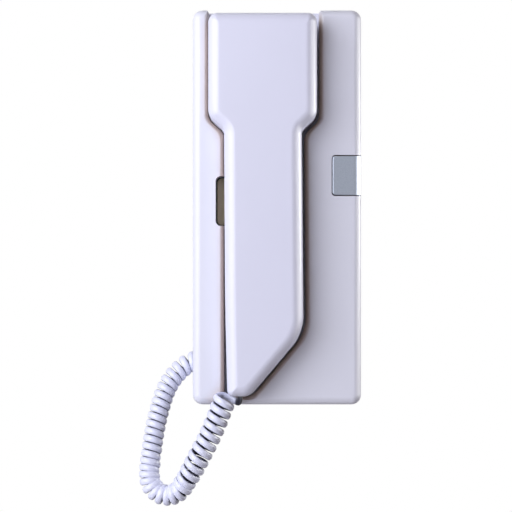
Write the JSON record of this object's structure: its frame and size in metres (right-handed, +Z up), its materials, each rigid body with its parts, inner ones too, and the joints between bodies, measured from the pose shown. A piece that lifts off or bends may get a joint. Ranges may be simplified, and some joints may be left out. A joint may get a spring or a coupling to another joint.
{
  "type": "audio intercom handset",
  "caption": "Wall base with a channel that holds a white intercom handset, a silver door button on its right edge, a hook lever and a coiled cord.",
  "frame": {"origin": "middle of the rear face of the wall plate, on the wall", "axes": "+X to the right seen from the front, +Y into the wall, +Z up along the handset; the front faces -Y"},
  "size_m": [0.1241, 0.048, 0.2757],
  "materials": {
    "base_plastic": "satin moulded white",
    "handset_plastic": "satin moulded white",
    "rear_plastic": "matt moulded",
    "silver_paint": "silver lacquer",
    "paddle_plastic": "olive grey, matt",
    "cord_sheath": "soft sheath, satin",
    "plug_plastic": "moulded",
    "board": "solder mask",
    "terminal_plastic": "moulded",
    "black_plastic": "moulded",
    "plunger_plastic": "moulded",
    "screw_steel": "zinc plated",
    "capsule_metal": "drawn can",
    "foam": "soft"
  },
  "bodies": {
    "base": {"wall_plate": "rear_plastic", "base_housing": "base_plastic", "housing_screw": "screw_steel", "base_circuit_board": "board", "pcb_screws": "screw_steel", "terminal_block": "terminal_plastic", "terminal_screws": "screw_steel", "call_buzzer": "black_plastic", "door_switch": "black_plastic", "hook_pin": "screw_steel", "hook_switch": "black_plastic", "base_jack": "black_plastic", "base_plug": "plug_plastic", "curly_cord": "cord_sheath"},
    "handset": {"handset_front_shell": "handset_plastic", "handset_rear_shell": "handset_plastic", "handset_screws": "screw_steel", "earpiece_speaker": "black_plastic", "earpiece_gasket": "foam", "microphone_capsule": "capsule_metal", "microphone_boot": "foam", "handset_jack": "black_plastic", "handset_plug": "plug_plastic"},
    "door_button": {"door_button": "silver_paint", "door_switch_plunger": "plunger_plastic"},
    "hook_paddle": {"hook_paddle": "paddle_plastic"},
    "hook_plunger": {"hook_switch_plunger": "plunger_plastic"}
  },
  "joints": [
    {"name": "handset_lift", "type": "slide", "parent": "base", "child": "handset", "axis": [0, -0.7071, 0.7071], "range_m": [0, 0.1], "deforming": ["curly_cord"]},
    {"name": "hook_swing", "type": "hinge", "parent": "base", "child": "hook_paddle", "pos_m": [-0.0316, -0.0126, 0.0035], "axis": [0, 0, -1], "range_deg": [0, 7.6]},
    {"name": "hook_plunger_travel", "type": "slide", "parent": "base", "child": "hook_plunger", "axis": [0, -1, 0], "range_m": [0, 0.00075]},
    {"name": "door_press", "type": "slide", "parent": "base", "child": "door_button", "axis": [0, 1, 0], "range_m": [0, 0.001], "stiffness_N_per_m": 600}
  ],
  "couplings": [
    {"joint": "hook_swing", "follows": "handset_lift", "rad_per_m": 1.3},
    {"joint": "hook_plunger_travel", "follows": "handset_lift", "ratio": 0.007}
  ]
}
